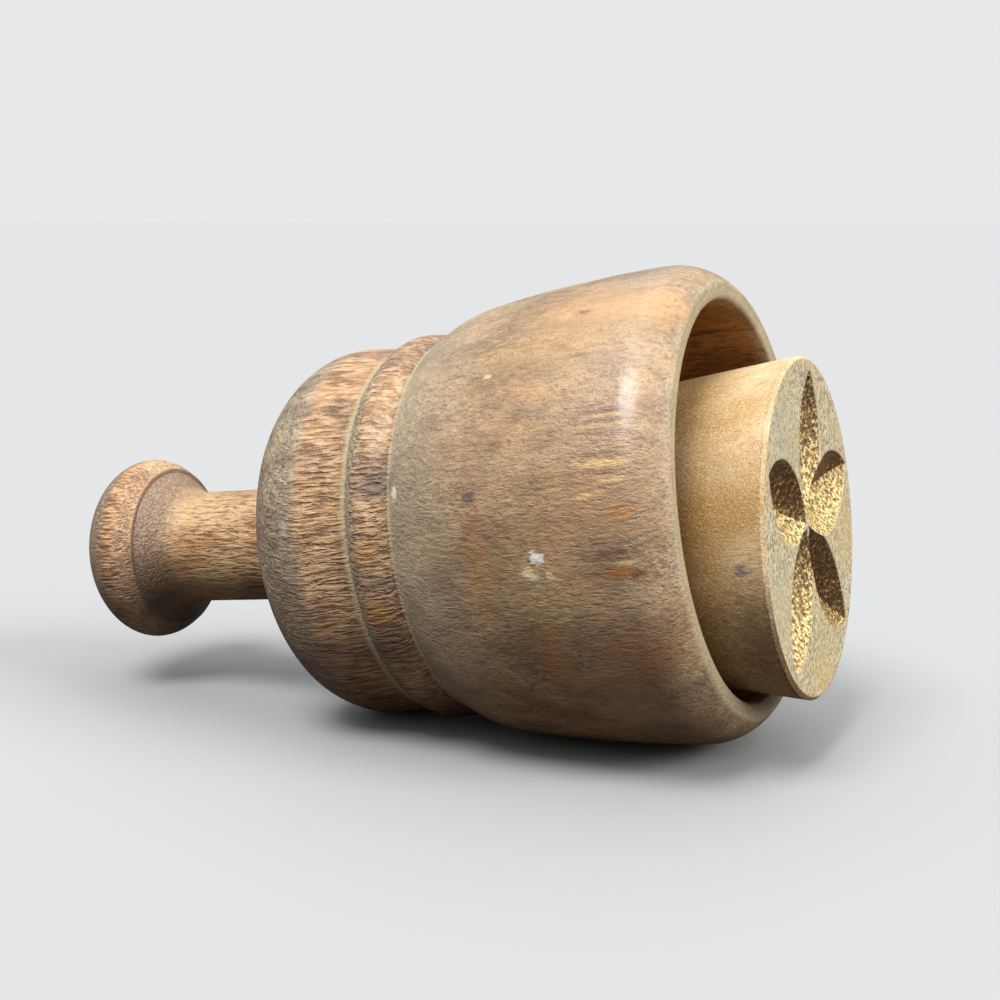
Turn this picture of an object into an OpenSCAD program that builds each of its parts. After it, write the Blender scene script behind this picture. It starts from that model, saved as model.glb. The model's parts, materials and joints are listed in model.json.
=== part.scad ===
// Turned wooden butter stamp: a bell-shaped case, a handle with a knob and stem,
// and a carved stamp on the end of the stem.
// It lies on its side, as it was put down: +Z is up, and +X points towards the
// mouth of the case. The origin is on the table, under the middle of the whole.
// Each turned piece is drawn along its own axis, with its outline as [radius, z]
// points, and is then laid down on the table.

/* [Cup] */
// Length of the case, from its flat back to the plane of its mouth
case_length = 56.7; // [54:0.1:64]
// Largest diameter of the case, at the swell behind the rim
case_d = 55.7; // [54:0.1:60]
// Thickness of the wall at the mouth, out to the largest diameter
mouth_wall = 4.55; // [4:0.05:6]
// How far the cup's radius narrows from its mouth to its floor
cup_taper = 1; // [0.4:0.1:2]
// Depth of the cup
cup_depth = 32.5; // [29:0.1:34]
// Radius of the hollow corner between the cup's wall and its floor
cup_corner_r = 5; // [2:0.1:8]
// Width of the flat rim, from the mouth's edge to the rounded outer edge
rim_w = 2; // [1:0.1:3]
// Width of the small bevel on the inner edge of the rim
lip_bevel = 0.4; // [0.2:0.05:0.8]
// Distance from the mouth back to the swell
swell_back = 5.5; // [4:0.1:8]
// How far the long barrel curve narrows, on its radius, from the swell back to the
// plane of the second groove
barrel_fall = 3.23; // [2:0.01:5]
// How far the shoulder drops from the barrel curve to the bottom of that groove
shoulder_fall = 1.67; // [1:0.01:3]
// Radius of the shoulder where the cup ends
shoulder_r = 18; // [12:0.5:24]

/* [Bead and back] */
// Height of the bead's crown over the bottom of the second groove, by the shoulder
bead_rise = 0.85; // [0.5:0.05:1.3]
// Height of the bead's crown over the bottom of the deeper first groove, by the back
bead_height = 1.5; // [1.35:0.05:3]
// Length of the bead between the two grooves
bead_length = 5.9; // [4:0.1:8]
// Depth of the first groove below the edge of the back part
groove_depth = 0.25; // [0.1:0.05:1]
// How far the back part narrows, on its radius, towards the first groove
waist_fall = 0.45; // [0.1:0.05:1]
// Length of the back part, from the flat back to the first groove
back_length = 16.4; // [14:0.1:18]
// Radius of the rounded edge of the back
back_round_r = 10.2; // [7:0.1:12]
// Least gap around the stem in the hole that it slides in
stem_gap = 0.2; // [0.1:0.05:0.6]
// Width of the worn edge around the hole in the back
hole_ease = 0.4; // [0.2:0.1:0.8]

/* [Handle] */
// Diameter of the stem
stem_d = 14.5; // [12:0.1:14.8]
// Length of the straight stem that stands out behind the case
stem_out = 17.5; // [12:0.1:30]
// Largest diameter of the knob
knob_d = 23.8; // [21:0.1:28]
// Length of the knob's domed end, from its largest ring to its tip
knob_dome = 7; // [5:0.1:9]
// Distance from the ridge ring back to the knob's largest ring
knob_swell = 3.3; // [2.5:0.1:3.8]
// Height of the step down from the ridge ring to the underside's cone
ridge_step = 0.65; // [0.4:0.05:1]
// Angle of the underside's cone to the stem
under_angle = 38; // [32:1:48]
// Radius of the hollow neck between the cone and the stem
neck_r = 5; // [3:0.1:6]
// Width of the worn edge of the ridge ring
ridge_ease = 0.25; // [0.1:0.05:0.3]
// Diameter of the tenon on the stem's front end
tenon_d = 9.5; // [7:0.1:11]
// Length of the tenon
tenon_length = 11; // [8:0.1:14]
// Gap around the tenon in its socket
tenon_gap = 0.06; // [0.03:0.01:0.09]

/* [Stamp] */
// Gap all round between the carved face's edge and the mouth, were it in the middle
stamp_gap = 3.6; // [2:0.1:5]
// Thickness of the stamp
stamp_length = 20; // [16:0.1:22]
// Angle between the stamp's side and its axis
stamp_taper = 8; // [4:0.5:9]
// Distance that the face stands out of the mouth, as the stamp was put down
face_out = 7.5; // [5:0.1:10]
// Width of the worn edge around the face
face_edge = 0.4; // [0.2:0.05:0.8]

/* [Flower] */
// Distance of the petals' outer tips from the edge of the face
petal_margin = 1.4; // [1:0.1:5]
// Width of a petal at its middle
petal_w = 9.8; // [6:0.1:11]
// Depth of a petal's carved valley
petal_depth = 2.8; // [1.5:0.1:3.6]
// Sideways place of the flower's heart on the face
heart_across = -1.6; // [-2:0.1:2]
// Height of the flower's heart on the face
heart_up = 0.6; // [-2:0.1:2]
// Distance from the heart to where each petal starts
heart_gap = 0.3; // [0.2:0.1:1]

/* [Loose fit] */
// Angle at which the loose plunger droops in the case
droop = 2.6; // [2:0.1:2.8]
// Gap left under the face's edge where it passes the mouth as the plunger slides
face_gap = 0.15; // [0.1:0.05:0.8]

/* [Hidden] */
$fn = 128;
// Directions of the petals' tips, as set out by eye around the middle of the face
petal_angles = [79, 16, -46, -128, 153];
// Steps in which an outline follows a short curve and the long barrel curve
curve_steps = 12;
barrel_steps = 20;
// Gap between the stem's shoulder and the stamp's back, and past the tenon's end
seat_gap = 0.1;
tenon_end_gap = 0.5;
// Radius that eases the back part's edge at the first groove
edge_ease = 0.4;
// How far a cut runs past the face that it opens
cut_over = 1;

case_r = case_d / 2;
mouth_r = case_r - mouth_wall;
floor_r = mouth_r - cup_taper;
floor_z = case_length - cup_depth;
rim_r = mouth_r + rim_w;
second_groove_r = case_r - barrel_fall - shoulder_fall;
bead_r = second_groove_r + bead_rise;
first_groove_r = bead_r - bead_height;
waist_r = first_groove_r + groove_depth;
back_r = waist_r + waist_fall;
stem_r = stem_d / 2;
knob_r = knob_d / 2;
tenon_r = tenon_d / 2;
face_r = mouth_r - stamp_gap;
petal_reach = face_r - petal_margin;
// Distance that the plunger's axis has dropped at the mouth of the case
mouth_drop = stamp_gap - face_gap;

// Points of an arc about centre [radius, z], from angle a0 to a1
function arc(centre, r, a0, a1, steps = curve_steps) = oval(centre, r, r, a0, a1, steps);

// Points of a part of an ellipse about centre [radius, z]
function oval(centre, across, along, a0, a1, steps = curve_steps) = [
    for (i = [0:steps])
        let (a = a0 + (a1 - a0) * i / steps)
        centre + [across * cos(a), along * sin(a)]
];

// Direction from one point to another, in degrees
function bearing(from, to) = atan2(to[1] - from[1], to[0] - from[0]);

// Where a circle about p meets a circle about q, on the right going from p to q
function meet(p, rp, q, rq) =
    let (
        d = norm(q - p),
        along = (rp * rp - rq * rq + d * d) / (2 * d),
        side = sqrt(rp * rp - along * along),
        way = (q - p) / d
    )
    p + along * way + side * [way[1], -way[0]];

// The bead is part of an oval that rises from the first groove and ends at the
// bottom of the second one, which is shallower
bead_end_angle = acos(1 - bead_rise / bead_height);
bead_half = bead_length / (1 + sin(bead_end_angle));
bead_z = back_length + bead_half;

// The barrel curve ends where the shoulder's arc touches it from inside
swell_z = case_length - swell_back;
shoulder_foot = [second_groove_r, back_length + bead_length];
barrel_run = swell_z - shoulder_foot[1];
barrel_r = (barrel_run * barrel_run + barrel_fall * barrel_fall) / (2 * barrel_fall);
barrel_centre = [case_r - barrel_r, swell_z];
shoulder_centre = meet(shoulder_foot, shoulder_r, barrel_centre, barrel_r - shoulder_r);
shoulder_angle = bearing(barrel_centre, shoulder_centre);

// The rim's rounded edge is one arc, level with the barrel curve at the swell
rim_fall = case_r - rim_r;
rim_round_r = (swell_back * swell_back + rim_fall * rim_fall) / (2 * rim_fall);
rim_angle = asin(swell_back / rim_round_r);

// The hole is bored off the case's axis, where the middle of the drooping stem lies,
// and it is as wide as the stem needs at both its ends
hole_drop = mouth_drop - (case_length - floor_z / 2) * tan(droop);
hole_r = stem_r / cos(droop) + floor_z / 2 * tan(droop) + stem_gap;

// Outline of the case, out along its back and sides and back down inside the cup
case_outline = concat(
    [[0, 0]],
    arc([back_r - back_round_r, back_round_r], back_round_r, -90, 0),
    arc([waist_r - edge_ease, back_length - edge_ease], edge_ease, 0, 70, 4),
    oval([first_groove_r, bead_z], bead_height, bead_half, -90, bead_end_angle),
    arc(shoulder_centre, shoulder_r, bearing(shoulder_centre, shoulder_foot), shoulder_angle),
    arc(barrel_centre, barrel_r, shoulder_angle, 0, barrel_steps),
    arc([case_r - rim_round_r, swell_z], rim_round_r, 0, rim_angle),
    [[mouth_r + lip_bevel, case_length], [mouth_r, case_length - lip_bevel]],
    arc([floor_r - cup_corner_r, floor_z + cup_corner_r], cup_corner_r, 0, -90),
    [[0, floor_z]]
);

// The plunger is drawn with z = 0 where its axis crosses the plane of the mouth
stamp_back_z = face_out - stamp_length;
stem_front_z = stamp_back_z - seat_gap;
neck_z = -case_length - stem_out;

// The knob is an oval cut off at the ridge ring, and the underside's cone runs
// from the hollow neck out to the foot of the step there
ridge_angle = asin((knob_swell - ridge_ease) / knob_dome);
ridge_r = knob_r * cos(ridge_angle);
cone_r = ridge_r - ridge_step;
cone_rise = cone_r - stem_r - neck_r * (1 - cos(under_angle));
ridge_z = neck_z - neck_r * sin(under_angle) - cone_rise / tan(under_angle);
knob_z = ridge_z - knob_swell;

handle_outline = concat(
    oval([0, knob_z], knob_r, knob_dome, -90, ridge_angle, 2 * curve_steps),
    arc([ridge_r - ridge_ease, ridge_z - ridge_ease], ridge_ease, 20, 90, 3),
    [[cone_r, ridge_z]],
    arc([stem_r + neck_r, neck_z], neck_r, 180 + under_angle, 180),
    [[stem_r, stem_front_z], [tenon_r, stem_front_z]],
    [[tenon_r, stem_front_z + tenon_length], [0, stem_front_z + tenon_length]]
);

socket_r = tenon_r + tenon_gap;
socket_end_z = stem_front_z + tenon_length + tenon_end_gap;
stamp_back_r = face_r - stamp_length * tan(stamp_taper);

stamp_outline = [
    [socket_r, stamp_back_z],
    [stamp_back_r - face_edge, stamp_back_z],
    [stamp_back_r, stamp_back_z + face_edge],
    [face_r - face_edge * tan(stamp_taper), face_out - face_edge],
    [face_r - face_edge, face_out],
    [0, face_out],
    [0, socket_end_z],
    [socket_r, socket_end_z]
];

// The case rests on its barrel curve and its rounded back, on one line that
// touches both arcs, so its axis rises towards the mouth by this tilt
back_centre = [back_r - back_round_r, back_round_r];
rest_run = barrel_centre - back_centre;
tilt = acos((back_round_r - barrel_r) / norm(rest_run)) - bearing([0, 0], rest_run);
axis_height = barrel_r + barrel_centre[0] * cos(tilt) - barrel_centre[1] * sin(tilt);

// The ends of the whole along X, from the middle of the case's back
plunger_rise = tilt - droop;
mouth_x = case_length * cos(tilt) + mouth_drop * sin(tilt);
front_x = mouth_x + face_out * cos(plunger_rise) + face_r * sin(plunger_rise);
knob_end = norm([knob_r * sin(plunger_rise), knob_dome * cos(plunger_rise)]);
rear_x = mouth_x + knob_z * cos(plunger_rise) - knob_end;

// Turns a piece's own axis to where the case's axis lies, with local +X downwards
module laid_down() {
    translate([-(front_x + rear_x) / 2, 0, axis_height])
        rotate([0, 90 - tilt, 0])
            children();
}

// The same for the plunger, whose axis has dropped and droops
module laid_plunger() {
    laid_down()
        translate([mouth_drop, 0, case_length])
            rotate([0, droop, 0])
                children();
}

// A petal is the part below the face of a lens, where two equal balls overlap:
// its outline is two arcs, and its flanks meet in a curved valley
module petal(start, tip) {
    half_l = norm(tip - start) / 2;
    half_w = petal_w / 2;
    outline_r = (half_l * half_l + half_w * half_w) / (2 * half_w);
    height = (half_l * half_l - petal_depth * petal_depth) / (2 * petal_depth);
    ball_r = norm([outline_r, height]);
    middle = (start + tip) / 2;
    translate([middle[0], middle[1], face_out])
        rotate([0, 0, bearing(start, tip)])
            intersection() {
                translate([0, outline_r - half_w, height])
                    sphere(ball_r);
                translate([0, half_w - outline_r, height])
                    sphere(ball_r);
                translate([-half_l - cut_over, -half_w - cut_over, -petal_depth - cut_over])
                    cube([2 * (half_l + cut_over), 2 * (half_w + cut_over), petal_depth + 2 * cut_over]);
            }
}

module flower() {
    heart = [-heart_up, heart_across];
    for (angle = petal_angles) {
        tip = petal_reach * [-sin(angle), cos(angle)];
        way = (tip - heart) / norm(tip - heart);
        petal(heart + heart_gap * way, tip);
    }
}

module case() {
    color("#8a6a4c")
        laid_down()
            difference() {
                rotate_extrude()
                    polygon(case_outline);
                stem_hole();
            }
}

// Drawn through the case from behind its back, with the worn edge as a cone
module stem_hole() {
    translate([hole_drop, 0, -cut_over])
        cylinder(r = hole_r, h = floor_z + 2 * cut_over);
    translate([hole_drop, 0, -hole_ease])
        cylinder(r1 = hole_r + 2 * hole_ease, r2 = hole_r, h = 2 * hole_ease);
}

module handle() {
    color("#9a6b3c")
        laid_plunger()
            rotate_extrude()
                polygon(handle_outline);
}

module stamp() {
    color("#c3a06a")
        laid_plunger()
            difference() {
                rotate_extrude()
                    polygon(stamp_outline);
                flower();
            }
}

case();
handle();
stamp();
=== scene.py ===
import json
import math

import bpy
import numpy as np
from mathutils import Matrix, Vector, noise


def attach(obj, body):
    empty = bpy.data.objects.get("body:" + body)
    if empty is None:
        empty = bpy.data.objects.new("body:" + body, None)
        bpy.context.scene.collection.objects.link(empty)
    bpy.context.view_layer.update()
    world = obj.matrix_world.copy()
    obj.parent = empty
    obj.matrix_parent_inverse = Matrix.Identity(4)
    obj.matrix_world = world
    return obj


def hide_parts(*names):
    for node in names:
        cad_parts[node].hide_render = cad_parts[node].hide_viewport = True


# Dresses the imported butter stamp: a bell-shaped case, a handle and a carved stamp,
# all turned from wood. Lengths in the dictionaries are millimetres, angles degrees.
# Each piece is made along its own turning axis, +Z towards the mouth of the case,
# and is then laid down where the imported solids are.

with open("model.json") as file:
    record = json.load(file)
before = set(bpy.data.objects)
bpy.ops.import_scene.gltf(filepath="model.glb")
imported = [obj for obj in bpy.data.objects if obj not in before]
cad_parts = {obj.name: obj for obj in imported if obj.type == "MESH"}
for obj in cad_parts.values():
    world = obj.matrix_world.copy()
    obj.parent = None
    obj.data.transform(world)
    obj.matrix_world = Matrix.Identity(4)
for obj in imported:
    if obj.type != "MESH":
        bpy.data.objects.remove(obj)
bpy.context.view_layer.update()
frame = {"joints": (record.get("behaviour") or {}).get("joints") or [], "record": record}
record = frame["record"]
mounts = {mount["name"]: mount for mount in record["mounts"]}
joints = {joint["name"]: joint for joint in frame["joints"]}
mm = 0.001


# Turned outlines: lists of [radius, z] in millimetres

def ovalPoints(centre, across, along, start, end, steps):
    turns = np.radians(np.linspace(start, end, steps + 1))
    return [[centre[0] + across * math.cos(t), centre[1] + along * math.sin(t)] for t in turns]


def arcPoints(centre, radius, start, end, steps=24):
    return ovalPoints(centre, radius, radius, start, end, steps)


def bearing(fromPoint, toPoint):
    return math.degrees(math.atan2(toPoint[1] - fromPoint[1], toPoint[0] - fromPoint[0]))


def meetPoint(p, rp, q, rq):
    # where a circle about p meets one about q, on the right going from p to q
    gap = math.dist(p, q)
    along = (rp * rp - rq * rq + gap * gap) / (2 * gap)
    side = math.sqrt(rp * rp - along * along)
    way = ((q[0] - p[0]) / gap, (q[1] - p[1]) / gap)
    return [p[0] + along * way[0] + side * way[1], p[1] + along * way[1] - side * way[0]]


def evenPoints(outline, spacing):
    # long straight steps are split, and the steps of the arcs are kept
    out = [np.array(outline[0], float)]
    for end in outline[1:]:
        start = out[-1]
        count = max(1, int(round(math.dist(start, end) / spacing)))
        out += [start + (np.array(end) - start) * i / count for i in range(1, count + 1)]
    return np.array(out)


# How each ring of an outline faces, and how sharply it bends there

def ringFacing(points):
    step = np.gradient(points, axis=0)
    step /= np.linalg.norm(step, axis=1)[:, None] + 1e-9
    return np.stack([step[:, 1], -step[:, 0]], 1)


def ringBend(points, reach):
    # positive on arrises, negative in grooves, in turns per millimetre
    facing = ringFacing(points)
    angle = np.unwrap(np.arctan2(facing[:, 1], facing[:, 0]))
    run = np.concatenate([[0], np.cumsum(np.linalg.norm(np.diff(points, axis=0), axis=1))])
    ahead = np.interp(run + reach, run, angle)
    behind = np.interp(run - reach, run, angle)
    return (ahead - behind) / (2 * reach)


def turnedMesh(name, points, segments, shiftAt=None, closedEnds=(True, True)):
    # rings about Z; shiftAt(r, z) moves a ring's centre along local X
    rings = len(points)
    angles = np.linspace(0, 2 * math.pi, segments, endpoint=False)
    r = points[:, 0][:, None]
    shift = np.array([shiftAt(*p) if shiftAt else 0 for p in points])[:, None]
    x = r * np.cos(angles) + shift
    y = r * np.sin(angles)
    z = np.repeat(points[:, 1][:, None], segments, 1)
    co = np.stack([x, y, z], -1).reshape(-1, 3)
    faces = []
    for i in range(rings - 1):
        a = i * segments
        for j in range(segments):
            k = (j + 1) % segments
            faces.append((a + j, a + k, a + segments + k, a + segments + j))
    for end, wanted in zip((0, rings - 1), closedEnds):
        if wanted:
            ring = [end * segments + j for j in range(segments)]
            faces.append(tuple(ring[::-1] if end == 0 else ring))
    return co, faces, angles


def makePiece(name, co, faces, place, values, sharpAngle):
    mesh = bpy.data.meshes.new(name)
    mesh.from_pydata((co * mm).tolist(), [], faces)
    mesh.transform(place)
    for label, numbers in values.items():
        layer = mesh.attributes.new(label, "FLOAT", "POINT")
        layer.data.foreach_set("value", np.asarray(numbers, np.float32))
    mesh.shade_smooth()
    mesh.set_sharp_from_angle(angle=math.radians(sharpAngle))
    piece = bpy.data.objects.new(name, mesh)
    bpy.context.scene.collection.objects.link(piece)
    return piece


def ringValues(points, segments):
    # per-vertex masks from the outline: end grain shows where a surface faces along the axis
    facing = ringFacing(points)
    bend = ringBend(points, 0.35)
    endGrain = np.abs(facing[:, 1])
    wear = np.clip(bend * 0.9, 0, 1)
    # painted shade: darker in the grooves, where shade falls
    paintedShade = np.clip(-bend * 0.35, 0, 0.7)
    return {
        "endGrain": np.repeat(endGrain, segments),
        "wear": np.repeat(wear, segments),
        "paintedShade": np.repeat(paintedShade, segments),
    }


def addTones(values, tables, points, segments, where=1):
    for label, table in tables.items():
        places, strengths = zip(*table)
        values[label] = np.repeat(np.interp(points[:, 1], places, strengths) * where, segments)


def axisFrame(origin, axis):
    # local +Z along the axis and local +X downwards
    z = Vector(axis).normalized()
    y = Vector((0, 1, 0))
    x = y.cross(z).normalized()
    turn = Matrix((x, y, z)).transposed().to_4x4()
    return Matrix.Translation(origin) @ turn


def unevenTurning(co, amount, seed):
    # the small waves left by hand turning and by the wood's shrinking across the grain
    out = co.copy()
    for i, (x, y, z) in enumerate(co):
        r = math.hypot(x, y)
        if r < 1e-6:
            continue
        wave = noise.noise(Vector((x * 0.055 + seed, y * 0.055, z * 0.08)))
        ripple = noise.noise(Vector((x * 0.16, y * 0.16 + seed, z * 0.5)))
        push = amount * (wave + 0.35 * ripple) / r
        out[i, 0] += x * push
        out[i, 1] += y * push
    return out


# Case

caseSizes = {
    "length": 56.7,
    "width": 55.7,
    "mouth": 46.6,
    "floor": 44.6,
    "depth": 32.5,
    "cornerRadius": 5,
    "rim": 2,
    "lipBevel": 0.4,
    "swellBack": 5.5,
    "barrelFall": 3.23,
    "shoulderRadius": 18,
    "back": 46,
    "waist": 45.1,
    "backLength": 16.4,
    "backRound": 10.2,
    "firstGroove": 44.8,
    "bead": 47.6,
    "beadLength": 5.9,
    "secondGroove": 45.9,
    "edgeEase": 0.4,
    "holeRadius": 8.007,
    "holeDrop": 1.425,
    "holeEase": 0.4,
    "beadCrown": 2.5,
    "spacing": 0.5,
    "innerSpacing": 1.6,
    "segments": 400,
    "unevenness": 0.09,
}

# tones along the case, as [z, strength]: end grain's grey-green, warm bands and raised lines
caseTones = {
    "endGrain": [[0, 1], [8.8, 1], [10.4, 0], [16.2, 0], [16.5, 0.9], [17.9, 0.8], [18.6, 0], [22.0, 0], [22.4, 0.7],
                 [24.6, 0.6], [28, 0.35], [36, 0.05], [54, 0], [56.7, 0.35]],
    "warmBand": [[9.2, 0], [10.6, 1], [16.2, 1], [16.5, 0], [17.8, 0], [18.8, 1], [22.0, 1], [22.4, 0], [36, 0.1],
                 [50, 0.25], [56.7, 0]],
    "raised": [[0, 0.1], [3, 0.15], [9, 0.35], [10.6, 1], [15.4, 1], [15.9, 0.2], [17, 0.3], [18, 1], [22.0, 0.9], [22.3, 0.15],
               [30, 0.07], [44, 0.08], [49, 0.17], [53, 0.1], [56.7, 0.07]],
    "polish": [[0, 0.1], [17, 0.1], [19, 0.3], [21, 0.3], [22.5, 0.1], [44, 0.3], [49.5, 1], [53, 1], [55, 0.3]],
    "paleEdge": [[15.85, 0], [16.05, 0.8], [16.4, 1], [16.5, 0], [22.2, 0], [22.3, 1], [22.6, 0.5], [23.0, 0],
                 [56.4, 0], [56.6, 1], [56.7, 1]],
    "dusty": [[22.2, 0], [22.5, 1], [26, 0.6], [34, 0]],
    # painted shade, strongest on the dome and bead, and laid on the lower side only
    "shadeAndStain": [[0, 1], [22, 1.15], [26, 0.5], [40, 0.5], [52, 0.6], [56.7, 0.2]],
}


def beadPoints(s):
    # two arcs that meet at the bead's crown, from the first groove to the second
    first, crown, second = s["firstGroove"] / 2, s["bead"] / 2, s["secondGroove"] / 2
    crownZ = s["backLength"] + s["beadCrown"]
    points = []
    for fall, run, start in ((crown - first, s["beadCrown"], -1), (crown - second, s["beadLength"] - s["beadCrown"], 1)):
        radius = (run ** 2 + fall ** 2) / (2 * fall)
        turn = math.degrees(math.asin(run / radius))
        arc = arcPoints([crown - radius, crownZ], radius, min(0, start * turn), max(0, start * turn), 12)
        points += arc if start < 0 else arc[1:]
    return points


def caseOutlines(s):
    length, backR = s["length"], s["back"] / 2
    caseR, mouthR, floorR, secondR = s["width"] / 2, s["mouth"] / 2, s["floor"] / 2, s["secondGroove"] / 2
    floorZ = length - s["depth"]
    swellZ = length - s["swellBack"]
    rimR = mouthR + s["rim"]
    foot = [secondR, s["backLength"] + s["beadLength"]]
    barrelLength = swellZ - foot[1]
    barrelRadius = (barrelLength ** 2 + s["barrelFall"] ** 2) / (2 * s["barrelFall"])
    barrelCentre = [caseR - barrelRadius, swellZ]
    shoulderCentre = meetPoint(foot, s["shoulderRadius"], barrelCentre, barrelRadius - s["shoulderRadius"])
    shoulderTurn = bearing(barrelCentre, shoulderCentre)
    rimFall = caseR - rimR
    rimRound = (s["swellBack"] ** 2 + rimFall ** 2) / (2 * rimFall)
    rimTurn = math.degrees(math.asin(s["swellBack"] / rimRound))
    outer = [[s["holeRadius"] + s["holeEase"], 0]]
    outer += arcPoints([backR - s["backRound"], s["backRound"]], s["backRound"], -90, 0, 40)
    outer += arcPoints([s["waist"] / 2 - s["edgeEase"], s["backLength"] - s["edgeEase"]], s["edgeEase"], 0, 70, 4)
    outer += beadPoints(s)
    outer += arcPoints(shoulderCentre, s["shoulderRadius"], bearing(shoulderCentre, foot), shoulderTurn, 24)[1:]
    outer += arcPoints(barrelCentre, barrelRadius, shoulderTurn, 0, 50)[1:]
    outer += arcPoints([caseR - rimRound, swellZ], rimRound, 0, rimTurn, 16)[1:]
    outer += [[mouthR + s["lipBevel"], length], [mouthR, length - s["lipBevel"]]]
    inner = [outer[-1]]
    inner += arcPoints([floorR - s["cornerRadius"], floorZ + s["cornerRadius"]], s["cornerRadius"], 0, -90, 12)
    inner += [[s["holeRadius"], floorZ], [s["holeRadius"], s["holeEase"]], outer[0]]
    return outer, inner


rimMount = mounts["cup_rim"]
caseAxis = Vector(rimMount["axis"]).normalized()
caseUp = Vector((-caseAxis.z, 0, caseAxis.x))
rimMiddle = (caseSizes["mouth"] / 2 + caseSizes["lipBevel"] + caseSizes["mouth"] / 2 + caseSizes["rim"]) / 2
caseBack = Vector(rimMount["pos_m"]) - caseUp * rimMiddle * mm - caseAxis * caseSizes["length"] * mm
casePlace = axisFrame(caseBack, caseAxis)


def holeShift(r, z):
    # rings near the hole follow it off the case's own axis
    s = caseSizes
    flat = s["back"] / 2 - s["backRound"]
    return s["holeDrop"] * float(np.clip((flat - r) / (flat - s["holeRadius"] - s["holeEase"]), 0, 1))


def makeCase():
    s = caseSizes
    outer, inner = caseOutlines(s)
    outerPoints = evenPoints(outer, s["spacing"])
    innerPoints = evenPoints(inner, s["innerSpacing"])
    points = np.concatenate([outerPoints, innerPoints[1:]])
    co, faces, angles = turnedMesh("case", points, s["segments"], holeShift, (False, False))
    values = ringValues(points, s["segments"])
    inside = np.zeros(len(points))
    inside[len(outerPoints):] = 1
    values["inside"] = np.repeat(inside, s["segments"])
    addTones(values, caseTones, points, s["segments"], 1 - inside)
    # the rim is palest at its inner edge, and painted shade darkens the lower side
    outerRim = (points[:, 1] > 50) * np.interp(points[:, 0], [23.8, 24.7], [0, 0.45])
    values["paleEdge"] *= np.repeat(1 - outerRim, s["segments"])
    values["shadeAndStain"] *= np.interp(np.tile(np.cos(angles), len(points)), [-0.5, 0.75], [0, 1])
    co = unevenTurning(co, s["unevenness"], 3.1)
    piece = makePiece("turnedCase", co, faces, casePlace, values, 50)
    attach(piece, "case")
    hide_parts("case")
    return piece


# Handle

handleSizes = {
    "stem": 14.5,
    "stemOut": 17.5,
    "knob": 23.8,
    "knobDome": 7,
    "knobSwell": 3.3,
    "ridgeStep": 0.65,
    "underAngle": 38,
    "neckRadius": 5,
    "ridgeEase": 0.25,
    "tenon": 9.5,
    "tenonLength": 11,
    "spacing": 0.35,
    "segments": 300,
    "unevenness": 0.06,
}

stampSizes = {
    "face": 39.4,
    "length": 20,
    "taper": 8,
    "faceOut": 7.5,
    "edge": 0.4,
    "seatGap": 0.1,
    "tenonGap": 0.06,
    "tenonEndGap": 0.5,
    "spacing": 0.8,
    "faceSpacing": 0.19,
    "segments": 600,
    "unevenness": 0.04,
}

# tones along the handle, as [z, strength]; the ridge stands at z -79.5
handleTones = {
    "endGrain": [[-90, 1], [-83.9, 1], [-82.6, 0]],
    "under": [[-79.7, 0], [-79.5, 1], [-77.2, 0.9], [-75.8, 0.35], [-74.6, 0]],
    # painted shade, laid on the lower side only
    "shadeAndStain": [[-90, 0.6], [-82, 0.75], [-79, 1], [-74, 0.9], [-70, 0.8], [-55, 0.8]],
    "raised": [[-90, 0.1], [-84.6, 0.3], [-83, 0.9], [-79.8, 0.8], [-79.5, 0.2], [-75, 0.4], [-72, 0.8], [-55, 0.8]],
    # painted highlight: a pale lilac strip on the band side of the ridge
    "paintedReflection": [[-82.4, 0], [-81.0, 1], [-80.0, 1], [-79.5, 0.5], [-78.4, 0]],
}

# tones along the stamp, as [z, strength]; its face stands at z 7.5
stampTones = {
    "paleEdge": [[6.2, 0], [7.1, 1], [7.5, 0.6]],
    # painted shade on the stamp's side towards the case's mouth
    "shadeAndStain": [[-8, 1], [0.5, 0.9], [4, 0.1], [6, 0]],
}

plungerJoint = joints["plunger_turn"]
plungerPlace = axisFrame(Vector(plungerJoint["pos_m"]), plungerJoint["axis"])


def handleOutline(s):
    stemR, knobR, tenonR = s["stem"] / 2, s["knob"] / 2, s["tenon"] / 2
    frontZ = stampSizes["faceOut"] - stampSizes["length"] - stampSizes["seatGap"]
    neckZ = -caseSizes["length"] - s["stemOut"]
    ridgeTurn = math.asin((s["knobSwell"] - s["ridgeEase"]) / s["knobDome"])
    ridgeR = knobR * math.cos(ridgeTurn)
    coneR = ridgeR - s["ridgeStep"]
    under = math.radians(s["underAngle"])
    rise = coneR - stemR - s["neckRadius"] * (1 - math.cos(under))
    ridgeZ = neckZ - s["neckRadius"] * math.sin(under) - rise / math.tan(under)
    knobZ = ridgeZ - s["knobSwell"]
    outline = ovalPoints([0, knobZ], knobR, s["knobDome"], -89.5, math.degrees(ridgeTurn), 60)
    outline += arcPoints([ridgeR - s["ridgeEase"], ridgeZ - s["ridgeEase"]], s["ridgeEase"], 20, 90, 4)
    outline += [[coneR, ridgeZ]]
    outline += arcPoints([stemR + s["neckRadius"], neckZ], s["neckRadius"], 180 + s["underAngle"], 180, 16)
    outline += [[stemR, frontZ], [tenonR, frontZ], [tenonR, frontZ + s["tenonLength"]]]
    outline += [[0.2, frontZ + s["tenonLength"]]]
    return outline


def makeHandle():
    s = handleSizes
    points = evenPoints(handleOutline(s), s["spacing"])
    co, faces, angles = turnedMesh("handle", points, s["segments"])
    values = ringValues(points, s["segments"])
    addTones(values, handleTones, points, s["segments"])
    # painted shade: darker towards the lower side
    values["shadeAndStain"] *= np.interp(np.tile(np.cos(angles), len(points)), [-0.25, 0.65], [0, 1])
    co = unevenTurning(co, s["unevenness"], 7.7)
    piece = makePiece("turnedHandle", co, faces, plungerPlace, values, 50)
    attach(piece, "handle")
    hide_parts("handle")
    return piece
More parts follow.
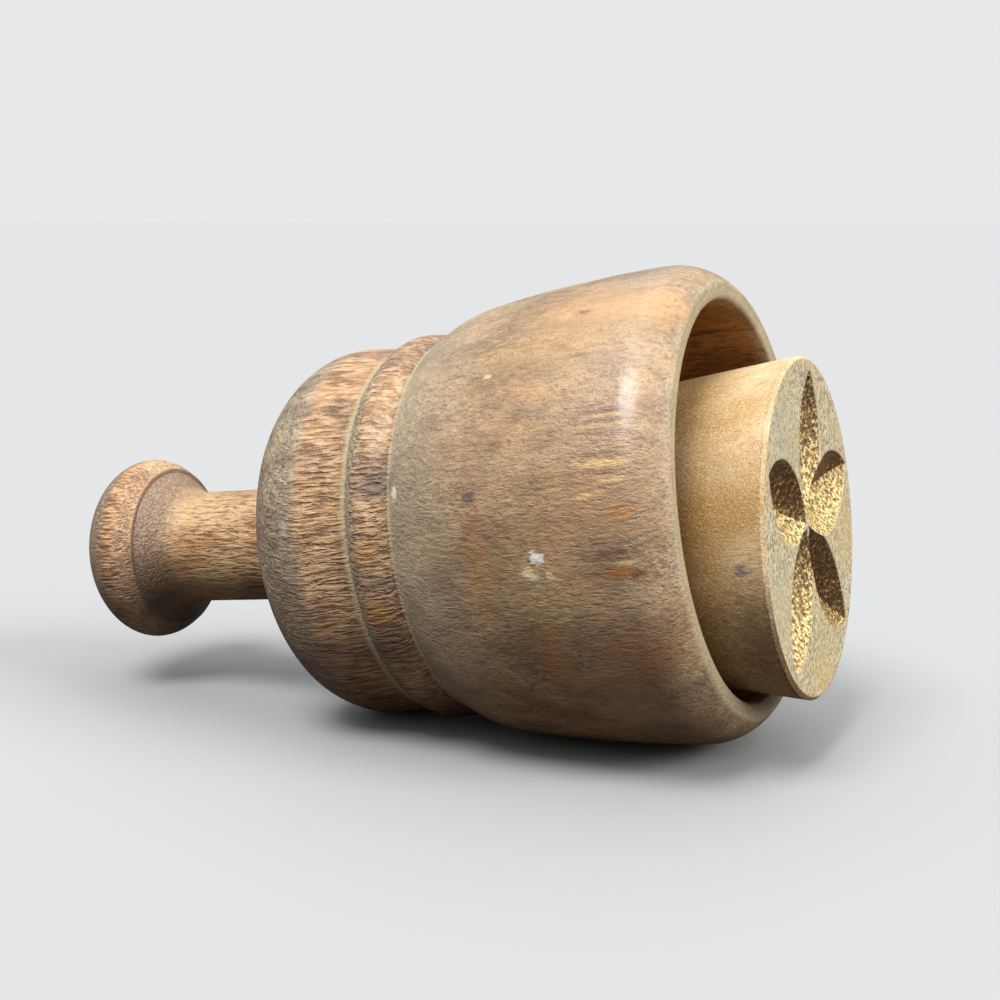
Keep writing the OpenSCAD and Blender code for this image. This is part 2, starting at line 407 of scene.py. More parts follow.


# Stamp, with its carved flower

# each petal: where it points, how far it reaches, and its half widths on the two sides;
# the stain value darkens a stained petal by taking its flanks towards the painted shade
flower = {
    "heart": (-0.6, -1.5),
    "heartGap": 0.3,
    "petals": [
        {"turn": 75, "reach": 18.6, "widths": (4.9, 4.4), "depth": 2.8},
        {"turn": 15.5, "reach": 19.2, "widths": (4.8, 4.5), "depth": 2.7},
        {"turn": -46, "reach": 19.0, "widths": (5.2, 3.5), "depth": 2.8, "shadeAndStain": 0.45},
        {"turn": -127, "reach": 18.4, "widths": (4.3, 4.6), "depth": 2.8},
        {"turn": 152.5, "reach": 17.9, "widths": (4.3, 4.9), "depth": 2.8},
    ],
}


def petalShapes():
    # a petal is the hollow that two ball cuts share; their circles cross at its two ends
    shapes = []
    heart = np.array(flower["heart"])
    for petal in flower["petals"]:
        turn = math.radians(petal["turn"])
        tip = petal["reach"] * np.array([-math.sin(turn), math.cos(turn)])
        way = (tip - heart) / np.linalg.norm(tip - heart)
        start = heart + flower["heartGap"] * way
        halfL = np.linalg.norm(tip - start) / 2
        height = (halfL ** 2 - petal["depth"] ** 2) / (2 * petal["depth"])
        leftOfWay = np.array([-way[1], way[0]])
        middle = (start + tip) / 2
        cuts = []
        for halfW, side in zip(petal["widths"], (-leftOfWay, leftOfWay)):
            radius = (halfL ** 2 + halfW ** 2) / (2 * halfW)
            cuts.append({"centre": middle - side * (radius - halfW), "radius": radius})
        shapes.append({"cuts": cuts, "height": height, "shadeAndStain": petal.get("shadeAndStain", 0)})
    return shapes


def carveFace(xy):
    # moves points near a petal's outline onto it, and gives each point's depth and
    # how far its flank faces up or down as the stamp lies; the stamp's material paints light and shade from that
    # facing
    xy = xy.copy()
    depth = np.zeros(len(xy))
    slope = np.zeros(len(xy))
    shapes = petalShapes()
    for shape in shapes:
        away = np.array([xy - cut["centre"] for cut in shape["cuts"]])
        far = np.linalg.norm(away, axis=2)
        past = far - np.array([[cut["radius"]] for cut in shape["cuts"]])
        nearest = np.argmax(past, axis=0)
        for k, cut in enumerate(shape["cuts"]):
            pick = (nearest == k) & (np.abs(past[k]) < 0.45 * stampSizes["faceSpacing"])
            xy[pick] = cut["centre"] + away[k][pick] / far[k][pick][:, None] * cut["radius"]
    for shape in shapes:
        hollow, lean = None, None
        for cut in shape["cuts"]:
            away = xy - cut["centre"]
            far = np.minimum(np.linalg.norm(away, axis=1), cut["radius"])
            fall = np.sqrt(cut["radius"] ** 2 + shape["height"] ** 2 - far ** 2)
            own = fall - shape["height"]
            first = hollow is None
            lean = away[:, 0] / fall if first else np.where(own < hollow, away[:, 0] / fall, lean)
            hollow = own if first else np.minimum(hollow, own)
        hollow[hollow < 1e-6] = 0
        deeper = hollow > depth
        depth = np.where(deeper, hollow, depth)
        slope = np.where(deeper, np.minimum(lean, lean * (1 - shape["shadeAndStain"])) - shape["shadeAndStain"] / 2, slope)
    return xy, depth, slope


def stampOutline(s):
    faceR = s["face"] / 2
    backZ = s["faceOut"] - s["length"]
    backR = faceR - s["length"] * math.tan(math.radians(s["taper"]))
    socketR = handleSizes["tenon"] / 2 + s["tenonGap"]
    socketZ = backZ - s["seatGap"] + handleSizes["tenonLength"] + s["tenonEndGap"]
    lean = s["edge"] * math.tan(math.radians(s["taper"]))
    return [[0.2, socketZ], [socketR, socketZ], [socketR, backZ], [backR - s["edge"], backZ],
            [backR, backZ + s["edge"]], [faceR - lean, s["faceOut"] - s["edge"]],
            [faceR - s["edge"], s["faceOut"]]]


def makeStamp():
    s = stampSizes
    side = evenPoints(stampOutline(s), s["spacing"])
    steps = int(side[-1, 0] / s["faceSpacing"])
    faceRings = np.linspace(side[-1, 0], 0.05, steps)[1:]
    points = np.concatenate([side, np.stack([faceRings, np.full(len(faceRings), s["faceOut"])], 1)])
    co, faces, angles = turnedMesh("stamp", points, s["segments"])
    values = ringValues(points, s["segments"])
    addTones(values, stampTones, points, s["segments"])
    # painted shade: the stamp's lower side is darker, and its pale rim and edges fade there
    values["lowerShade"] = np.interp(np.tile(np.cos(angles), len(points)), [0.0, 0.9], [0, 1])
    co = unevenTurning(co, s["unevenness"], 1.3)
    first = len(side) * s["segments"]
    xy, depth, slope = carveFace(co[first:, :2])
    co[first:, :2] = xy
    co[first:, 2] -= depth
    values["carved"] = np.zeros(len(co))
    values["carved"][first:] = np.clip(depth / 0.15, 0, 1)
    values["flank"] = np.zeros(len(co))
    values["flank"][first:] = np.clip(slope * 2, -1, 1)
    for label in stampTones:
        values[label][first:] *= np.linalg.norm(xy, axis=1) > side[-1, 0] - 0.5
    piece = makePiece("turnedStamp", co, faces, plungerPlace, values, 24)
    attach(piece, "stamp")
    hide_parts("stamp")
    return piece


caseModel = makeCase()
handleModel = makeHandle()
stampModel = makeStamp()
print("pieces made:", [p.name for p in (caseModel, handleModel, stampModel)])


# Camera at the photograph's angle

cameraView = {"place": (0.09506, -0.19408, 0.06339), "turn": 24.07, "down": 9.52, "lens": 63.0}


def makeCamera(view):
    data = bpy.data.cameras.new("camera")
    data.lens = view["lens"]
    data.sensor_width = 36
    data.clip_start = 0.01
    camera = bpy.data.objects.new("camera", data)
    bpy.context.scene.collection.objects.link(camera)
    camera.location = view["place"]
    camera.rotation_euler = (math.radians(90 - view["down"]), 0, math.radians(view["turn"]))
    bpy.context.scene.camera = camera
    return camera


camera = makeCamera(cameraView)


def seenAt(piece, place, pixel):
    # the point of a piece, in its own millimetres, that the photograph shows at this pixel
    width = cameraView["lens"] / 36 * 1000
    ray = Vector(((pixel[0] - 500) / width, (500 - pixel[1]) / width, -1))
    bpy.context.view_layer.update()
    way = (camera.matrix_world.to_3x3() @ ray).normalized()
    hit, point, facing, face = piece.ray_cast(camera.matrix_world.translation, way)
    if not hit:
        print("no point of", piece.name, "at", pixel)
        return (0, 0, -999)
    return tuple(place.inverted() @ point / mm)


# Node helpers

def addNode(tree, kind, **settings):
    node = tree.nodes.new(kind)
    for label, value in settings.items():
        setattr(node, label, value)
    return node


def plug(tree, source, socket):
    if isinstance(source, bpy.types.NodeSocket):
        tree.links.new(source, socket)
    else:
        socket.default_value = source


def calc(tree, operation, a, b=None, c=None, clamp=False):
    node = addNode(tree, "ShaderNodeMath", operation=operation, use_clamp=clamp)
    for value, socket in zip((a, b, c), node.inputs):
        if value is not None:
            plug(tree, value, socket)
    return node.outputs[0]


def total(tree, *weighted):
    # the sum of value times weight
    result = None
    for value, weight in weighted:
        term = calc(tree, "MULTIPLY", value, weight)
        result = term if result is None else calc(tree, "ADD", result, term)
    return result


def ramp(tree, value, low, high, outLow=0.0, outHigh=1.0):
    node = addNode(tree, "ShaderNodeMapRange", interpolation_type="SMOOTHSTEP")
    for source, socket in zip((value, low, high, outLow, outHigh), node.inputs):
        plug(tree, source, socket)
    return node.outputs[0]


def blendColours(tree, amount, a, b, mode="MIX"):
    node = addNode(tree, "ShaderNodeMix", data_type="RGBA", blend_type=mode)
    plug(tree, amount, node.inputs[0])
    for value, socket in ((a, node.inputs[6]), (b, node.inputs[7])):
        plug(tree, value if isinstance(value, bpy.types.NodeSocket) else (*value, 1), socket)
    return node.outputs[2]


def vectorSum(tree, operation, a, b):
    node = addNode(tree, "ShaderNodeVectorMath", operation=operation)
    tree.links.new(a, node.inputs[0])
    plug(tree, b, node.inputs["Scale"] if operation == "SCALE" else node.inputs[1])
    return node.outputs["Value"] if operation == "LENGTH" else node.outputs[0]


def noiseAt(tree, vector, scale, detail=2.0, roughness=0.5):
    node = addNode(tree, "ShaderNodeTexNoise")
    tree.links.new(vector, node.inputs["Vector"])
    for label, value in (("Scale", scale), ("Detail", detail), ("Roughness", roughness)):
        plug(tree, value, node.inputs[label])
    return node


def stretch(tree, vector, scale, turn=0.0):
    node = addNode(tree, "ShaderNodeMapping", vector_type="POINT")
    tree.links.new(vector, node.inputs["Vector"])
    node.inputs["Rotation"].default_value = (0, 0, math.radians(turn))
    node.inputs["Scale"].default_value = scale
    return node.outputs[0]


def newGroup(name, inputs, outputs):
    group = bpy.data.node_groups.new(name, "ShaderNodeTree")
    for label, kind, start in inputs:
        socket = group.interface.new_socket(label, in_out="INPUT", socket_type="NodeSocket" + kind)
        if start is not None:
            socket.default_value = start
    for label, kind in outputs:
        group.interface.new_socket(label, in_out="OUTPUT", socket_type="NodeSocket" + kind)
    return group, addNode(group, "NodeGroupInput").outputs, addNode(group, "NodeGroupOutput").inputs


def useGroup(tree, group, values):
    node = addNode(tree, "ShaderNodeGroup", node_tree=group)
    for label, value in values.items():
        plug(tree, value, node.inputs[label])
    return node.outputs


def colour(hexText):
    # sRGB hex to linear
    parts = [int(hexText[i:i + 2], 16) / 255 for i in (0, 2, 4)]
    return tuple(p / 12.92 if p <= 0.04045 else ((p + 0.055) / 1.055) ** 2.4 for p in parts)


# The wood's figure. In the piece's own frame Z runs along the grain, and the growth
# rings lie as nearly flat layers, turned about Z by ringTurn.
ringTurn = -40


def turnedGrainGroup():
    # Lines runs from 0 on a pale ridge to 1 in a dark line
    group, given, out = newGroup("TurnedGrain",
        [("Position", "Vector", None), ("Waviness", "Float", 0.8)],
        [("Flecks", "Float"), ("Lines", "Float"), ("Fibres", "Float"), ("Strokes", "Float"), ("Streaks", "Float"),
         ("Rings", "Float")])
    layered = stretch(group, given["Position"], (1, 1, 1), ringTurn)
    for scale, reach in (((0.4, 0.3, 0.22), 0.6), ((1.5, 1.2, 0.8), 0.13)):
        sway = noiseAt(group, stretch(group, layered, scale), 1.0, 1.0)
        centred = vectorSum(group, "SUBTRACT", sway.outputs["Color"], (0.5, 0.5, 0.5))
        pull = calc(group, "MULTIPLY", given["Waviness"], reach)
        layered = vectorSum(group, "ADD", layered, vectorSum(group, "SCALE", centred, pull))
    figure = {
        "Flecks": ((3.6, 2.6, 1.1), 2.0, 0.55, 0.54, 0.72),
        "Lines": ((2.9, 2.0, 0.34), 2.0, 0.5, 0.34, 0.66),
        "Fibres": ((2.6, 2.1, 1.0), 3.0, 0.65, 0.32, 0.66),
        "Strokes": ((2.2, 1.7, 0.22), 2.0, 0.5, 0.57, 0.7),
        "Streaks": ((0.6, 0.4, 0.07), 2.0, 0.5, 0.35, 0.65),
        "Rings": ((3.6, 0.5, 0.09), 2.0, 0.6, 0.42, 0.64),
    }
    for label, (scale, detail, roughness, low, high) in figure.items():
        value = noiseAt(group, stretch(group, layered, scale), 1.0, detail, roughness).outputs[0]
        group.links.new(ramp(group, value, low, high), out[label])
    return group


def markGroup():
    # one ragged spot about a point
    group, given, out = newGroup("Mark",
        [("Position", "Vector", None), ("Centre", "Vector", (0, 0, 0)), ("Size", "Vector", (1, 1, 1)),
         ("Raggedness", "Float", 0.5), ("Softness", "Float", 0.3)],
        [("Mask", "Float")])
    apart = vectorSum(group, "SUBTRACT", given["Position"], given["Centre"])
    fitted = vectorSum(group, "DIVIDE", apart, given["Size"])
    length = addNode(group, "ShaderNodeVectorMath", operation="LENGTH")
    group.links.new(fitted, length.inputs[0])
    rag = noiseAt(group, stretch(group, given["Position"], (1.7, 1.7, 0.9)), 1.0, 3.0, 0.6)
    pull = calc(group, "MULTIPLY", calc(group, "SUBTRACT", rag.outputs[0], 0.5), given["Raggedness"])
    edge = calc(group, "ADD", length.outputs["Value"], calc(group, "MULTIPLY", pull, 2.0))
    low = calc(group, "SUBTRACT", 1.0, given["Softness"])
    high = calc(group, "ADD", 1.0, given["Softness"])
    group.links.new(ramp(group, edge, low, high, 1.0, 0.0), out["Mask"])
    return group


def patchGroup():
    # slow changes of tone over the surface, then mottling, then fine speckle
    group, given, out = newGroup("Patches",
        [("Position", "Vector", None), ("Size", "Float", 10.0)],
        [("Patch", "Float"), ("Drift", "Float"), ("Mottle", "Float"), ("Speckle", "Float")])
    slow = noiseAt(group, stretch(group, given["Position"], (1, 1, 0.6)), calc(group, "DIVIDE", 1.0, given["Size"]))
    group.links.new(ramp(group, slow.outputs[0], 0.3, 0.7), out["Patch"])
    drift = addNode(group, "ShaderNodeSeparateColor")
    group.links.new(slow.outputs["Color"], drift.inputs[0])
    group.links.new(ramp(group, drift.outputs[1], 0.42, 0.62), out["Drift"])
    mottle = noiseAt(group, stretch(group, given["Position"], (1, 1, 0.6)), 0.8, 3.0, 0.6)
    group.links.new(ramp(group, mottle.outputs[0], 0.3, 0.7), out["Mottle"])
    speckle = noiseAt(group, given["Position"], 3.8, 2.0, 0.6)
    group.links.new(ramp(group, speckle.outputs[0], 0.3, 0.7), out["Speckle"])
    return group


turnedGrain = turnedGrainGroup()
mark = markGroup()
patches = patchGroup()


def newMaterial(name, place):
    # position comes out in the piece's own frame, in millimetres
    material = bpy.data.materials.new(name)
    material.use_nodes = True
    tree = material.node_tree
    tree.nodes.clear()
    shader = addNode(tree, "ShaderNodeBsdfPrincipled")
    output = addNode(tree, "ShaderNodeOutputMaterial")
    tree.links.new(shader.outputs[0], output.inputs[0])
    laid = addNode(tree, "ShaderNodeMapping", vector_type="TEXTURE")
    tree.links.new(addNode(tree, "ShaderNodeTexCoord").outputs["Object"], laid.inputs["Vector"])
    laid.inputs["Location"].default_value = place.to_translation()
    laid.inputs["Rotation"].default_value = place.to_euler()
    laid.inputs["Scale"].default_value = (mm, mm, mm)
    return material, tree, shader, laid.outputs[0]


def meshValue(tree, label):
    return addNode(tree, "ShaderNodeAttribute", attribute_name=label).outputs["Fac"]


def addBump(tree, shader, height, strength, distance):
    bump = addNode(tree, "ShaderNodeBump")
    tree.links.new(height, bump.inputs["Height"])
    bump.inputs["Strength"].default_value = strength
    bump.inputs["Distance"].default_value = distance * mm
    tree.links.new(bump.outputs[0], shader.inputs["Normal"])


def layColours(tree, base, layers):
    # paints each [mask, strength, colour] over what is below it
    for mask, strength, shade in layers:
        base = blendColours(tree, calc(tree, "MULTIPLY", mask, strength, clamp=True), base, shade)
    return base


def layMarks(tree, base, piece, place, position, marks):
    for spot in marks:
        across, along = spot["size"]
        mask = useGroup(tree, mark, {
            "Position": position,
            "Centre": seenAt(piece, place, spot["pixel"]),
            "Size": (across, across, along),
            "Raggedness": spot["rag"],
            "Softness": spot["soft"],
        })["Mask"]
        base = layColours(tree, base, [(mask, spot["strength"], colour(spot["colour"]))])
    return base


caseFinish = {
    "tan": colour("af9574"),
    "deepTan": colour("886f54"),
    "olive": colour("8d7955"),
    "warm": colour("b08250"),
    "band": colour("c29a6e"),
    "bandDeep": colour("9b6c45"),
    "bandDark": colour("6f4a33"),
    "end": colour("8e8576"),
    "endDark": colour("5f564b"),
    "endPale": colour("bdb29c"),
    "line": colour("4a2c1b"),
    "ridge": colour("e0bd94"),
    "fleck": colour("573b24"),
    "speck": colour("c9a97a"),
    "smudge": colour("664832"),
    "shadeAndStain": colour("3a2519"),
    "dirt": colour("4d3524"),
    "dust": colour("b9ac96"),
    "paintedReflection": colour("8f8178"),
    "edge": colour("b5a986"),
    "paintedShade": colour("33261b"),
    "inside": colour("cf985a"),
    "insideDark": colour("a06c3a"),
    "bump": 0.16,
}

# spots on the case: pixel in the photograph, half sizes across and along the grain
caseMarks = [
    {"pixel": (600, 480), "size": (5.0, 7.0), "colour": "9d7447", "rag": 0.8, "soft": 0.9, "strength": 0.3},
    {"pixel": (605, 305), "size": (5.0, 7.0), "colour": "c5965c", "rag": 0.8, "soft": 0.9, "strength": 0.35},
    {"pixel": (560, 350), "size": (5.0, 8.0), "colour": "b58955", "rag": 0.8, "soft": 0.9, "strength": 0.25},
    {"pixel": (640, 660), "size": (3.5, 4.0), "colour": "8c5f35", "rag": 1.2, "soft": 0.9, "strength": 0.6},
    {"pixel": (545, 650), "size": (3.0, 1.6), "colour": "8a5a30", "rag": 1.4, "soft": 0.9, "strength": 0.35},
    {"pixel": (478, 575), "size": (4.5, 1.3), "colour": "9a6a38", "rag": 1.4, "soft": 0.9, "strength": 0.4},
    {"pixel": (562, 668), "size": (4.0, 1.5), "colour": "94653a", "rag": 1.4, "soft": 0.9, "strength": 0.6},
    {"pixel": (606, 562), "size": (2.0, 2.2), "colour": "5f4230", "rag": 1.6, "soft": 0.9, "strength": 0.25},
    {"pixel": (520, 640), "size": (5.0, 2.6), "colour": "4f3c2e", "rag": 1.6, "soft": 0.9, "strength": 0.35},
    {"pixel": (440, 560), "size": (5.0, 1.6), "colour": "6f6250", "rag": 1.4, "soft": 0.9, "strength": 0.35},
    {"pixel": (650, 305), "size": (3.0, 4.5), "colour": "c8965a", "rag": 1.0, "soft": 0.9, "strength": 0.35},
    {"pixel": (467, 498), "size": (0.7, 0.8), "colour": "4a3f44", "rag": 0.6, "soft": 0.4, "strength": 0.8},
    {"pixel": (372, 484), "size": (1.7, 2.0), "colour": "3a3238", "rag": 1.2, "soft": 0.7, "strength": 0.65},
    {"pixel": (603, 415), "size": (0.22, 2.4), "colour": "d6ac72", "rag": 1.3, "soft": 0.8, "strength": 0.5},
    {"pixel": (597, 425), "size": (0.2, 2.2), "colour": "cfa063", "rag": 1.3, "soft": 0.8, "strength": 0.45},
    {"pixel": (603, 463), "size": (0.35, 2.6), "colour": "d9b074", "rag": 1.3, "soft": 0.8, "strength": 0.65},
    {"pixel": (613, 479), "size": (0.3, 1.4), "colour": "d2a76c", "rag": 1.4, "soft": 0.8, "strength": 0.5},
    {"pixel": (586, 496), "size": (0.3, 1.8), "colour": "d4ab70", "rag": 1.4, "soft": 0.6, "strength": 0.5},
    {"pixel": (610, 410), "size": (0.26, 2.0), "colour": "6b4632", "rag": 1.3, "soft": 0.8, "strength": 0.5},
    {"pixel": (604, 420), "size": (0.26, 2.4), "colour": "6b4632", "rag": 1.3, "soft": 0.8, "strength": 0.55},
    {"pixel": (598, 432), "size": (0.28, 2.2), "colour": "74503a", "rag": 1.3, "soft": 0.8, "strength": 0.5},
    {"pixel": (598, 454), "size": (0.25, 2.6), "colour": "7a563a", "rag": 1.3, "soft": 0.8, "strength": 0.45},
    {"pixel": (605, 471), "size": (0.25, 2.6), "colour": "6b4a34", "rag": 1.3, "soft": 0.8, "strength": 0.5},
    {"pixel": (615, 552), "size": (0.3, 1.8), "colour": "553622", "rag": 1.4, "soft": 0.8, "strength": 0.5},
    {"pixel": (622, 512), "size": (0.7, 1.5), "colour": "a76f2c", "rag": 1.8, "soft": 0.9, "strength": 0.65},
    {"pixel": (622, 574), "size": (0.6, 2.0), "colour": "99601d", "rag": 1.8, "soft": 0.9, "strength": 0.8},
    {"pixel": (625, 563), "size": (0.3, 1.5), "colour": "c9a873", "rag": 1.4, "soft": 0.6, "strength": 0.6},
    {"pixel": (620, 602), "size": (0.4, 1.8), "colour": "b89763", "rag": 1.5, "soft": 0.7, "strength": 0.5},
    {"pixel": (640, 574), "size": (0.5, 0.8), "colour": "402a1c", "rag": 1.5, "soft": 0.8, "strength": 0.6},
    {"pixel": (585, 312), "size": (0.35, 0.8), "colour": "51402e", "rag": 1.6, "soft": 0.7, "strength": 0.6},
    {"pixel": (577, 355), "size": (0.3, 1.2), "colour": "5a4129", "rag": 1.6, "soft": 0.7, "strength": 0.6},
    {"pixel": (518, 413), "size": (1.0, 1.2), "colour": "5f4636", "rag": 1.6, "soft": 0.9, "strength": 0.5},
    {"pixel": (487, 377), "size": (0.3, 0.35), "colour": "ddd3b4", "rag": 2.0, "soft": 0.7, "strength": 0.5},
    {"pixel": (536, 558), "size": (0.55, 0.65), "colour": "dad8d2", "rag": 2.0, "soft": 0.5, "strength": 0.9},
    {"pixel": (529, 574), "size": (0.55, 0.8), "colour": "d2c69c", "rag": 2.2, "soft": 0.6, "strength": 0.75},
    {"pixel": (549, 575), "size": (0.35, 0.45), "colour": "d2c69c", "rag": 1.8, "soft": 0.6, "strength": 0.75},
    {"pixel": (379, 614), "size": (1.5, 1.8), "colour": "a9752f", "rag": 1.6, "soft": 0.9, "strength": 0.55},
    {"pixel": (362, 553), "size": (1.0, 1.4), "colour": "b58243", "rag": 1.6, "soft": 0.9, "strength": 0.5},
    {"pixel": (381, 584), "size": (1.2, 1.4), "colour": "4a3830", "rag": 1.6, "soft": 0.9, "strength": 0.5},
    {"pixel": (393, 650), "size": (2.0, 1.8), "colour": "3a2a24", "rag": 1.4, "soft": 0.9, "strength": 0.45},
    {"pixel": (332, 652), "size": (3.0, 3.0), "colour": "59362a", "rag": 1.4, "soft": 0.9, "strength": 0.4},
    {"pixel": (706, 333), "size": (0.45, 2.2), "colour": "231207", "rag": 1.6, "soft": 0.8, "strength": 0.7},
    {"pixel": (394, 493), "size": (0.8, 0.5), "colour": "d6d2ae", "rag": 1.2, "soft": 0.5, "strength": 0.9},
]


def lineLayers(tree, grain, raised, line, ridge, strength):
    # the pale ridge beside each dark grain line is wood colour and a painted highlight on the raised grain
    dark = calc(tree, "MULTIPLY", ramp(tree, grain["Lines"], 0.62, 1.0), raised)
    pale = calc(tree, "MULTIPLY", ramp(tree, grain["Lines"], 0.5, 0.1), raised)
    return [(pale, 0.5, ridge), (dark, strength, line)]


def makeCaseWood():
    f = caseFinish
    material, tree, shader, place = newMaterial("case_wood", casePlace)
    grain = useGroup(tree, turnedGrain, {"Position": place, "Waviness": 1.1})
    tone = useGroup(tree, patches, {"Position": place, "Size": 9.0})
    raised, band, endGrain = [meshValue(tree, label) for label in ("raised", "warmBand", "endGrain")]
    raised = calc(tree, "MULTIPLY", raised, ramp(tree, tone["Mottle"], 0.0, 0.8, 0.55, 1.0))
    plain = calc(tree, "SUBTRACT", 1.0, band)
    blotch = useGroup(tree, patches, {"Position": place, "Size": 4.4})
    dirty = calc(tree, "MULTIPLY", blotch["Drift"], ramp(tree, grain["Lines"], 0.0, 1.0, 0.6, 1.0))
    base = blendColours(tree, tone["Patch"], f["deepTan"], f["tan"])
    base = layColours(tree, base, [(grain["Streaks"], 0.4, f["warm"]), (tone["Drift"], 0.55, f["olive"])])
    warm = blendColours(tree, tone["Patch"], f["bandDeep"], f["band"])
    warm = layColours(tree, warm, [(tone["Drift"], 0.45, f["bandDark"])])
    base = blendColours(tree, band, base, warm)
    ends = blendColours(tree, tone["Speckle"], f["endDark"], f["end"])
    ends = layColours(tree, ends, [(grain["Rings"], 0.5, f["endPale"])])
    base = blendColours(tree, endGrain, base, ends)
    base = layColours(tree, base, lineLayers(tree, grain, raised, f["line"], f["ridge"], 0.68))
    base = layColours(tree, base, [
        (calc(tree, "MULTIPLY", grain["Flecks"], plain), 0.65, f["fleck"]),
        (calc(tree, "MULTIPLY", grain["Strokes"], plain), 0.4, f["speck"]),
        (calc(tree, "MULTIPLY", ramp(tree, grain["Fibres"], 0.5, 1.0), plain), 0.32, f["speck"]),
        (calc(tree, "MULTIPLY", ramp(tree, grain["Fibres"], 0.5, 0.0), plain), 0.36, f["smudge"]),
        (ramp(tree, tone["Speckle"], 0.55, 0.95), 0.36, f["speck"]),
        (ramp(tree, tone["Mottle"], 0.6, 1.0), 0.4, f["smudge"]),
        (calc(tree, "MULTIPLY", ramp(tree, blotch["Patch"], 0.5, 1.0), ramp(tree, endGrain, 0.8, 0.2)), 0.28, f["warm"]),
        (dirty, 0.42, f["dirt"]),
        (meshValue(tree, "dusty"), 0.4, f["dust"]),
        # painted reflection: a cool grey tint where the swell is polished
        (meshValue(tree, "polish"), 0.25, f["paintedReflection"]),
        # painted shade, patchy, on the lower side
        (calc(tree, "MULTIPLY", meshValue(tree, "shadeAndStain"), ramp(tree, tone["Patch"], 0.0, 1.0, 1.0, 0.5)), 0.6, f["shadeAndStain"]),
        # painted shade in the grooves
        (meshValue(tree, "paintedShade"), 0.5, f["paintedShade"]),
        (calc(tree, "MULTIPLY", meshValue(tree, "paleEdge"), ramp(tree, tone["Speckle"], 0.0, 0.5, 0.6)), 0.9, f["edge"]),
    ])
    # painted light: the inside's colours are brighter, standing in for light reaching into the cup
    within = blendColours(tree, tone["Patch"], f["insideDark"], f["inside"])
    within = layColours(tree, within, [(grain["Flecks"], 0.7, f["fleck"]), (tone["Speckle"], 0.3, f["insideDark"]),
                                       (ramp(tree, grain["Lines"], 0.5, 1.0), 0.5, f["fleck"])])
    base = blendColours(tree, meshValue(tree, "inside"), base, within)
    base = layMarks(tree, base, caseModel, casePlace, place, caseMarks)
    tree.links.new(base, shader.inputs["Base Color"])
    rough = total(tree, (grain["Lines"], 0.12), (grain["Fibres"], 0.1), (endGrain, 0.12),
                  (meshValue(tree, "polish"), -0.2))
    tree.links.new(calc(tree, "ADD", rough, 0.44), shader.inputs["Roughness"])
    tree.links.new(calc(tree, "MULTIPLY", meshValue(tree, "polish"), 0.4), shader.inputs["Coat Weight"])
    shader.inputs["Coat Roughness"].default_value = 0.2
    height = total(tree, (calc(tree, "MULTIPLY", grain["Lines"], raised), -1.5), (grain["Flecks"], -0.2),
                   (grain["Fibres"], 0.3), (calc(tree, "MULTIPLY", grain["Strokes"], plain), 0.14),
                   (calc(tree, "MULTIPLY", grain["Rings"], endGrain), 0.25),
                   (tone["Speckle"], 0.12))
    addBump(tree, shader, height, 1.0, f["bump"])
    return material


handleFinish = {
    "gold": colour("c8a375"),
    "deepGold": colour("9c6c40"),
    "end": colour("94806a"),
    "endDark": colour("6a5748"),
    "under": colour("a2876c"),
    "underDark": colour("664c3c"),
    "line": colour("4a2a18"),
    "ridge": colour("dbb484"),
    "paintedReflection": colour("b5a9a2"),
    "paintedShade": colour("2c1f19"),
    "bump": 0.14,
}


def makeHandleWood():
    f = handleFinish
    material, tree, shader, place = newMaterial("handle_wood", plungerPlace)
    grain = useGroup(tree, turnedGrain, {"Position": stretch(tree, place, (1.25, 1.25, 1.4)), "Waviness": 1.1})
    tone = useGroup(tree, patches, {"Position": place, "Size": 7.0})
    raised, under, endGrain = [meshValue(tree, label) for label in ("raised", "under", "endGrain")]
    raised = calc(tree, "MULTIPLY", raised, ramp(tree, tone["Mottle"], 0.0, 0.8, 0.5, 1.0))
    base = blendColours(tree, tone["Patch"], f["deepGold"], f["gold"])
    ends = blendColours(tree, tone["Speckle"], f["endDark"], f["end"])
    base = blendColours(tree, endGrain, base, ends)
    below = blendColours(tree, tone["Speckle"], f["underDark"], f["under"])
    base = blendColours(tree, under, base, below)
    base = layColours(tree, base, lineLayers(tree, grain, raised, f["line"], f["ridge"], 0.85))
    base = layColours(tree, base, [
        (grain["Flecks"], 0.35, f["line"]),
        # painted shade on the lower side
        (calc(tree, "MULTIPLY", meshValue(tree, "shadeAndStain"), ramp(tree, tone["Patch"], 0.0, 1.0, 1.0, 0.7)), 0.82, f["paintedShade"]),
        # painted highlight along the knob's ridge
        (meshValue(tree, "paintedReflection"), 0.12, f["paintedReflection"]),
        # painted shade in the grooves
        (meshValue(tree, "paintedShade"), 0.25, f["paintedShade"]),
    ])
    tree.links.new(base, shader.inputs["Base Color"])
    rough = total(tree, (grain["Lines"], 0.12), (grain["Fibres"], 0.1), (endGrain, 0.08))
    tree.links.new(calc(tree, "ADD", rough, 0.3), shader.inputs["Roughness"])
    height = total(tree, (calc(tree, "MULTIPLY", grain["Lines"], raised), -1.3), (grain["Flecks"], -0.3),
                   (grain["Fibres"], 0.25), (tone["Speckle"], 0.15))
    addBump(tree, shader, height, 1.0, f["bump"])
    return material


stampFinish = {
    "side": colour("d6bb95"),
    "sideDeep": colour("aa8650"),
    "shadeAndStain": colour("86612f"),
    "lowerShade": colour("5b4026"),
    "face": colour("c6bb9c"),
    "faceDark": colour("7d7052"),
    "faceGold": colour("bfa268"),
    "cut": colour("3e240b"),
    "cutGold": colour("a58040"),
    "cutSpark": colour("eed794"),
    "edge": colour("e0d5b4"),
    "pore": colour("6a4f2c"),
    "grit": colour("dcbc80"),
    "bump": 0.07,
}

